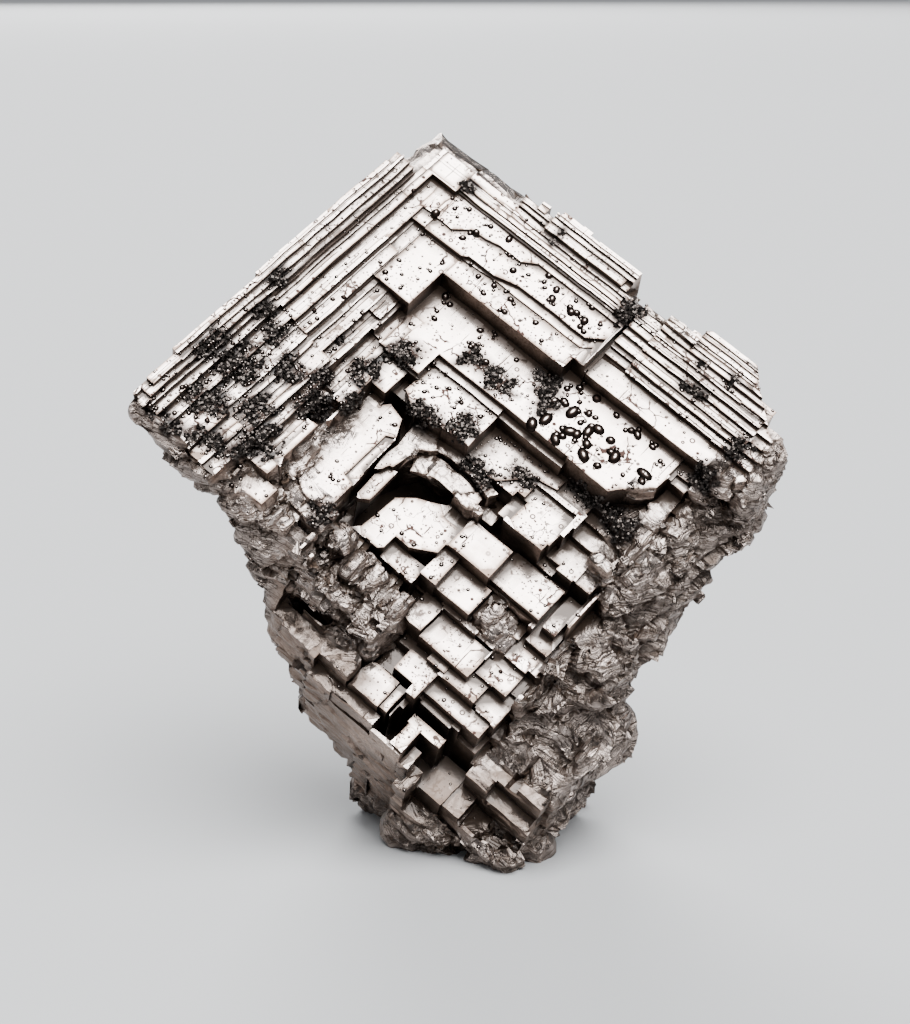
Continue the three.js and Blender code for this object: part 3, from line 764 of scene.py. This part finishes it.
def attribute(tree, name):
    made = tree.nodes.new("ShaderNodeAttribute")
    made.attribute_name = name
    return made.outputs["Fac"]


def mix(tree, factor, first, second):
    """The first colour where the factor is 0, the second where it is 1."""
    made = tree.nodes.new("ShaderNodeMix")
    made.data_type = "RGBA"
    for place, value in ((0, factor), (6, first), (7, second)):
        link(tree, value, made.inputs[place])
    return made.outputs[2]


def calc(tree, operation, first, second=0.5, third=0.5, clamp=False):
    made = tree.nodes.new("ShaderNodeMath")
    made.operation = operation
    made.use_clamp = clamp
    for socket, value in zip(made.inputs, (first, second, third)):
        link(tree, value, socket)
    return made.outputs[0]


def fade(tree, value, low, high):
    """0 where the value is at low, 1 where it is at high."""
    made = tree.nodes.new("ShaderNodeMapRange")
    made.inputs["From Min"].default_value = low
    made.inputs["From Max"].default_value = high
    link(tree, value, made.inputs["Value"])
    return made.outputs["Result"]


# %% [markdown]
# Patterns on the crystal
#
# Every pattern is turned with the crystal's axes and measured in millimetres.  Noise makes
# clouds, the borders of Voronoi cells make cracks, the middles of cells make dots and rings, and
# cells that each tilt their own way make the small flats of a break.

# %% Patterns
def on_crystal(tree, stretch=(1, 1, 1)):
    """Object coordinates turned so that the pattern's axes are the crystal's, in millimetres."""
    source = tree.nodes.new("ShaderNodeTexCoord").outputs["Object"]
    mapping = tree.nodes.new("ShaderNodeMapping")
    mapping.inputs["Rotation"].default_value = turn.transposed().to_euler()
    mapping.inputs["Scale"].default_value = [1000] * 3
    tree.links.new(source, mapping.inputs["Vector"])
    squeeze = tree.nodes.new("ShaderNodeMapping")
    squeeze.inputs["Scale"].default_value = stretch
    tree.links.new(mapping.outputs["Vector"], squeeze.inputs["Vector"])
    return squeeze.outputs["Vector"]


def cloudy(tree, vector, scale, detail=2.0, roughness=0.5):
    """A soft noise between 0 and 1."""
    return node(tree, "ShaderNodeTexNoise", "Fac", Vector=vector, Scale=scale,
                Detail=detail, Roughness=roughness)


def bend(tree, vector, by, amount):
    """Shifts the places of a pattern by a noise, so that its straight lines wander."""
    made = tree.nodes.new("ShaderNodeVectorMath")
    made.operation = "MULTIPLY_ADD"
    made.inputs[1].default_value = amount
    tree.links.new(by, made.inputs[0])
    tree.links.new(vector, made.inputs[2])
    return made.outputs[0]


def borders(tree, vector, scale):
    """The distance to the nearest border between Voronoi cells."""
    made = tree.nodes.new("ShaderNodeTexVoronoi")
    made.feature = "DISTANCE_TO_EDGE"
    made.inputs["Scale"].default_value = scale
    tree.links.new(vector, made.inputs["Vector"])
    return made.outputs["Distance"]


def cells(tree, vector, scale, channel, randomness=1.0):
    """The distance to the nearest cell centre, and a random number for each cell."""
    made = tree.nodes.new("ShaderNodeTexVoronoi")
    made.inputs["Scale"].default_value = scale
    made.inputs["Randomness"].default_value = randomness
    tree.links.new(vector, made.inputs["Vector"])
    number = node(tree, "ShaderNodeSeparateColor", channel, Color=made.outputs["Color"])
    return made.outputs["Distance"], number


def tilted_cells(tree, vector, scale):
    """A height that tilts every Voronoi cell its own way, like the small flats of a break."""
    flats = tree.nodes.new("ShaderNodeTexVoronoi")
    flats.inputs["Scale"].default_value = scale
    from_centre = tree.nodes.new("ShaderNodeVectorMath")
    from_centre.operation = "SUBTRACT"
    lean = tree.nodes.new("ShaderNodeVectorMath")
    lean.operation = "SUBTRACT"
    lean.inputs[1].default_value = (0.5, 0.5, 0.5)
    height = tree.nodes.new("ShaderNodeVectorMath")
    height.operation = "DOT_PRODUCT"
    tree.links.new(vector, flats.inputs["Vector"])
    tree.links.new(vector, from_centre.inputs[0])
    tree.links.new(flats.outputs["Position"], from_centre.inputs[1])
    tree.links.new(flats.outputs["Color"], lean.inputs[0])
    tree.links.new(from_centre.outputs["Vector"], height.inputs[0])
    tree.links.new(lean.outputs["Vector"], height.inputs[1])
    return height.outputs["Value"]


# %% [markdown]
# Fine marks on the terraces
#
# Real terraces are full of hair cracks, rings round tiny beads, dots, pits, and dashes along
# the axes.  They could be painted one by one.  Patterns give thousands of them from a few
# numbers: each kind is a thin band or the middle of a cell, and all are joined into one mask.

# %% The metal, and what steers it
metal = bpy.data.materials.new("native_bismuth")
metal.use_nodes = True
nt = metal.node_tree
shader = nt.nodes["Principled BSDF"]
crystal = on_crystal(nt)
cloud = cloudy(nt, crystal, 0.8, detail=5.0, roughness=0.6)
speck = cloudy(nt, crystal, 9.0, detail=3.0, roughness=0.7)
flank = attribute(nt, "flank")
hollow = attribute(nt, "hollow")
ripped = attribute(nt, "torn")
inner = attribute(nt, "inner")

# %% Cracks and veins
# cracks are the borders of bent Voronoi cells, in some places only
warp = node(nt, "ShaderNodeTexNoise", "Color", Vector=crystal, Scale=1.3, Detail=3.0)
bent = bend(nt, crystal, warp, (0.9, 0.9, 0.9))
crack = fade(nt, borders(nt, bent, 0.8), 0.038, 0.018)
crack_here = fade(nt, cloudy(nt, crystal, 0.6), 0.53, 0.57)
crack = calc(nt, "MULTIPLY", crack, crack_here)

# veins are the same, but bent much more, and only down in the hopper
far_bent = bend(nt, crystal, warp, (2.2, 2.2, 0.8))
vein = fade(nt, borders(nt, far_bent, 1.15), 0.036, 0.015)
vein_here = fade(nt, cloudy(nt, crystal, 0.9), 0.48, 0.54)
vein = calc(nt, "MULTIPLY", vein, calc(nt, "MULTIPLY", vein_here, inner))
crack = calc(nt, "MAXIMUM", crack, vein)

# %% Rings, dots, dashes and pits
# a ring is a band at some distance from a cell's middle, each with its own size
cell, cell_pick = cells(nt, crystal, 2.3, "Red", randomness=0.9)
ring = calc(nt, "ABSOLUTE", calc(nt, "SUBTRACT", cell, calc(nt, "MULTIPLY", cell_pick, 0.42)))
ring = calc(nt, "MULTIPLY", fade(nt, ring, 0.09, 0.045), fade(nt, cell_pick, 0.20, 0.22))
ring = calc(nt, "MULTIPLY", ring, fade(nt, cell_pick, 0.60, 0.58))

# dots and pits are the middles of cells, and dashes are noise drawn out along a or b
dot, dot_pick = cells(nt, crystal, 3.9, "Green")
dot = calc(nt, "MULTIPLY", fade(nt, dot, 0.24, 0.14), fade(nt, dot_pick, 0.56, 0.60))
dash_a = fade(nt, cloudy(nt, on_crystal(nt, (0.5, 8.0, 3.0)), 1.0), 0.70, 0.72)
dash_b = fade(nt, cloudy(nt, on_crystal(nt, (8.0, 0.5, 3.0)), 1.0), 0.74, 0.76)
dash = calc(nt, "MAXIMUM", dash_a, dash_b)
pit, pit_pick = cells(nt, crystal, 8.5, "Blue")
pit = calc(nt, "MULTIPLY", fade(nt, pit, 0.40, 0.26), fade(nt, pit_pick, 0.78, 0.82))

# %% All the marks together, but not on torn metal and not on the walls
marks = calc(nt, "MAXIMUM", calc(nt, "MAXIMUM", crack, ring), calc(nt, "MAXIMUM", dot, dash))
marks = calc(nt, "MAXIMUM", marks, pit)
marks = calc(nt, "MULTIPLY", marks, calc(nt, "SUBTRACT", 1.0, ripped, clamp=True))
marks = calc(nt, "MULTIPLY", marks, calc(nt, "SUBTRACT", 1.0, flank, clamp=True))

# %% [markdown]
# Colours of the metal
#
# The base colour of a metal is the colour of its reflection, so even a dark mark looks pale
# where it mirrors a lamp.  That is why the dark colours here are nearly black.  The layers are
# put on one after the other: terrace, smear, painted shade along the rims, marks, wall (part
# tarnish, part painted shade), bronze, torn metal, tarnish and painted shade in the hollows, and
# dirt with the painted shade of the beads.

# %% Colours
CLEAN, PINKISH = (0.93, 0.83, 0.775, 1), (0.72, 0.59, 0.52, 1)
SMEARED = (0.34, 0.26, 0.22, 1)
# painted shade along the terrace edges: a soft brown band and a thin dark line
RIM_SHADE, RIM_DEEP_SHADE = (0.26, 0.19, 0.15, 1), (0.11, 0.075, 0.058, 1)
MARK = (0.022, 0.013, 0.011, 1)
WALL_DARK, WALL_LIGHT = (0.10, 0.07, 0.055, 1), (0.56, 0.42, 0.345, 1)
TORN_DARK, TORN_LIGHT = (0.08, 0.063, 0.053, 1), (0.52, 0.435, 0.39, 1)
LAYER_DARK, CRACKLE_DARK = (0.06, 0.045, 0.037, 1), (0.03, 0.022, 0.018, 1)
BRONZE_TERRACE, BRONZE_WALL = (0.05, 0.035, 0.027, 1), (0.16, 0.113, 0.087, 1)
# tarnish together with painted shade for the hollows, and dirt together with the painted shade of
# the beads
GRIME_AND_SHADE, DIRT_AND_SHADE = (0.07, 0.049, 0.037, 1), (0.018, 0.0125, 0.0105, 1)

# %% Terraces and walls
tone = mix(nt, cloud, CLEAN, PINKISH)
smear = calc(nt, "MULTIPLY", fade(nt, cloud, 0.54, 0.70), 0.4)
tone = mix(nt, smear, tone, SMEARED)
# the edges of the terraces are painted darker, as shade where the metal rounds off and turns away
# from the lamp
edge = calc(nt, "ADD", attribute(nt, "rim"), calc(nt, "MULTIPLY_ADD", speck, 0.4, -0.2))
tone = mix(nt, calc(nt, "MULTIPLY", fade(nt, edge, 0.1, 0.85), 0.75), tone, RIM_SHADE)
tone = mix(nt, calc(nt, "MULTIPLY", fade(nt, edge, 0.72, 0.92), 0.8), tone, RIM_DEEP_SHADE)
tone = mix(nt, marks, tone, MARK)
# the walls are painted darker and browner than the terraces: partly tarnish, partly painted shade
wall_tone = mix(nt, fade(nt, speck, 0.25, 0.7), WALL_DARK, WALL_LIGHT)

# %% Torn metal: a noise along c only gives the layers, bent a little by large flats
depth = node(nt, "ShaderNodeSeparateXYZ", "Z", Vector=crystal)
layer_place = calc(nt, "MULTIPLY_ADD", tilted_cells(nt, crystal, 1.1), 0.5, depth)
layer_noise = nt.nodes.new("ShaderNodeTexNoise")
layer_noise.noise_dimensions = "1D"
layer_noise.inputs["Scale"].default_value = 15.0
layer_noise.inputs["Detail"].default_value = 4.0
nt.links.new(layer_place, layer_noise.inputs["W"])
layers = layer_noise.outputs["Fac"]
torn_cloud = cloudy(nt, crystal, 2.6, detail=6.0)
torn_cloud = calc(nt, "ADD", torn_cloud, calc(nt, "MULTIPLY_ADD", layers, 0.8, -0.4))
torn_tone = mix(nt, fade(nt, torn_cloud, 0.28, 0.78), TORN_DARK, TORN_LIGHT)
torn_tone = mix(nt, fade(nt, layers, 0.45, 0.37), torn_tone, LAYER_DARK)
crackle = borders(nt, bent, 2.6)
torn_tone = mix(nt, fade(nt, crackle, 0.035, 0.01), torn_tone, CRACKLE_DARK)

# %% The layers one after the other
tone = mix(nt, flank, tone, wall_tone)
# near the foot and on the block that stands out at the left, the colour is made darker and browner
bronze = calc(nt, "MULTIPLY", attribute(nt, "bronze"), fade(nt, cloud, 0.1, 0.35))
bronze_tone = mix(nt, flank, BRONZE_TERRACE, BRONZE_WALL)
tone = mix(nt, calc(nt, "MULTIPLY", bronze, 0.95), tone, bronze_tone)
tone = mix(nt, ripped, tone, torn_tone)
dirt_and_bead_shade = calc(nt, "MULTIPLY", attribute(nt, "dirty"), fade(nt, speck, 0.25, 0.42))
# the painted shade on the sides of the beads joins the dirt around the grains
dirt_and_bead_shade = calc(nt, "MAXIMUM", dirt_and_bead_shade, fade(nt, attribute(nt, "bead_shade"), 0.08, 0.42))
# tarnish in the hollows and painted shade: the more shut in a place is, the darker its colour
grime_and_shade = calc(nt, "MULTIPLY", hollow, calc(nt, "MULTIPLY_ADD", ripped, -0.9, 2.7), clamp=True)
grime_and_shade = calc(nt, "POWER", grime_and_shade, 1.4)
tone = mix(nt, grime_and_shade, tone, GRIME_AND_SHADE)
tone = mix(nt, dirt_and_bead_shade, tone, DIRT_AND_SHADE)
nt.links.new(tone, shader.inputs["Base Color"])

# %% [markdown]
# Shine and relief
#
# Clean terraces are nearly mirrors.  Walls, torn metal, dirt and the dark sides of the beads are
# rougher, and in the hollows, where tarnish and painted shade are laid on, part of the metal's
# own reflection is taken away.  The relief lets the terraces wave faintly and adds the thinnest
# layers and smallest flats of the torn sides.  It only helps the light: whatever can be seen in
# the outline is in the mesh.

# %% Shine
# where tarnish and painted shade darken the hollows, the metal is also made less metallic
dull = calc(nt, "MULTIPLY", grime_and_shade, calc(nt, "SUBTRACT", 1.0, flank, clamp=True))
dull = calc(nt, "MULTIPLY_ADD", dull, -0.75, 1.0)
nt.links.new(dull, shader.inputs["Metallic"])
gloss = calc(nt, "MULTIPLY_ADD", cloud, 0.12, 0.13)
gloss = calc(nt, "MULTIPLY_ADD", flank, 0.16, gloss)
gloss = calc(nt, "MULTIPLY_ADD", ripped, 0.05, gloss)
gloss = calc(nt, "MULTIPLY_ADD", dirt_and_bead_shade, 0.2, gloss, clamp=True)
nt.links.new(gloss, shader.inputs["Roughness"])

# %% Relief
wave = cloudy(nt, crystal, 2.2, detail=4.0, roughness=0.55)
rough_side = calc(nt, "MAXIMUM", calc(nt, "MULTIPLY", flank, 0.04), ripped)
chips = calc(nt, "MULTIPLY", tilted_cells(nt, on_crystal(nt, (1, 1, 2)), 1.6), 9.0)
relief = calc(nt, "MULTIPLY_ADD", layers, 2.6, chips)
relief = calc(nt, "MULTIPLY", relief, rough_side)
relief = calc(nt, "MULTIPLY_ADD", wave, 0.18, relief)
relief = calc(nt, "MULTIPLY_ADD", calc(nt, "MULTIPLY", speck, ripped), 0.4, relief)
bump = nt.nodes.new("ShaderNodeBump")
bump.inputs["Strength"].default_value = 1.0
bump.inputs["Distance"].default_value = 0.04 * MM
nt.links.new(relief, bump.inputs["Height"])
nt.links.new(bump.outputs["Normal"], shader.inputs["Normal"])
print("nodes in the metal:", len(nt.nodes))

# %% [markdown]
# Materials of the pieces
#
# The body, the beads and the flakes share the metal.  The grains of the crust are too small for
# marks, so they have a plain dark metal of their own.

# %% Materials of the pieces
group.data.materials.clear()
for piece in (group, bead_piece, flake_piece):
    piece.data.materials.append(metal)

dark = bpy.data.materials.new("crust_metal")
dark.use_nodes = True
dark_shader = dark.node_tree.nodes["Principled BSDF"]
dark_shader.inputs["Metallic"].default_value = 1.0
dark_shader.inputs["Roughness"].default_value = 0.32
dark_shader.inputs["Base Color"].default_value = (0.065, 0.056, 0.051, 1)
crust_piece.data.materials.append(dark)
print("materials:", metal.name, "and", dark.name)

# %% [markdown]
# Floor and light
#
# Polished metal shows what is around it, so a lamp is placed by what mirrors it.  The wide
# softbox hangs high above and a little in front, where the terraces mirror it to the camera.
# The walls mirror the dim room instead, which makes the steps stand out.  A weaker light from
# behind keeps the torn back from going black.

# %% Floor
FLOOR_REACH = 6  # metres from the middle to each side
sheet = bmesh.new()
bmesh.ops.create_grid(sheet, x_segments=1, y_segments=1, size=FLOOR_REACH)
floor_mesh = bpy.data.meshes.new("floor")
sheet.to_mesh(floor_mesh)
sheet.free()
floor = bpy.data.objects.new("floor", floor_mesh)
bpy.context.scene.collection.objects.link(floor)
paper = bpy.data.materials.new("floor_paper")
paper.use_nodes = True
paper_shader = paper.node_tree.nodes["Principled BSDF"]
paper_shader.inputs["Base Color"].default_value = (0.55, 0.56, 0.57, 1)
paper_shader.inputs["Roughness"].default_value = 0.9
floor.data.materials.append(paper)


# %% Light
def soft_light(name, towards, distance, size, watts):
    """A round lamp that faces the group from far off."""
    data = bpy.data.lights.new(name, "AREA")
    data.shape = "DISK"
    data.size = size
    data.energy = watts
    light = bpy.data.objects.new(name, data)
    light.location = cad_mid + Vector(towards).normalized() * distance
    light.rotation_euler = (-Vector(towards)).to_track_quat("-Z", "Y").to_euler()
    bpy.context.scene.collection.objects.link(light)
    print(name, "watts:", watts)


soft_light("softbox", (0.20, -0.345, 0.917), 2.7, 2.5, 178)
soft_light("fill from behind", (-0.15, 0.85, 0.50), 2.7, 1.8, 95)
world = bpy.data.worlds.new("studio")
bpy.context.scene.world = world
world.use_nodes = True
room = world.node_tree.nodes["Background"]
room.inputs["Color"].default_value = (0.5, 0.52, 0.55, 1)
room.inputs["Strength"].default_value = 0.55
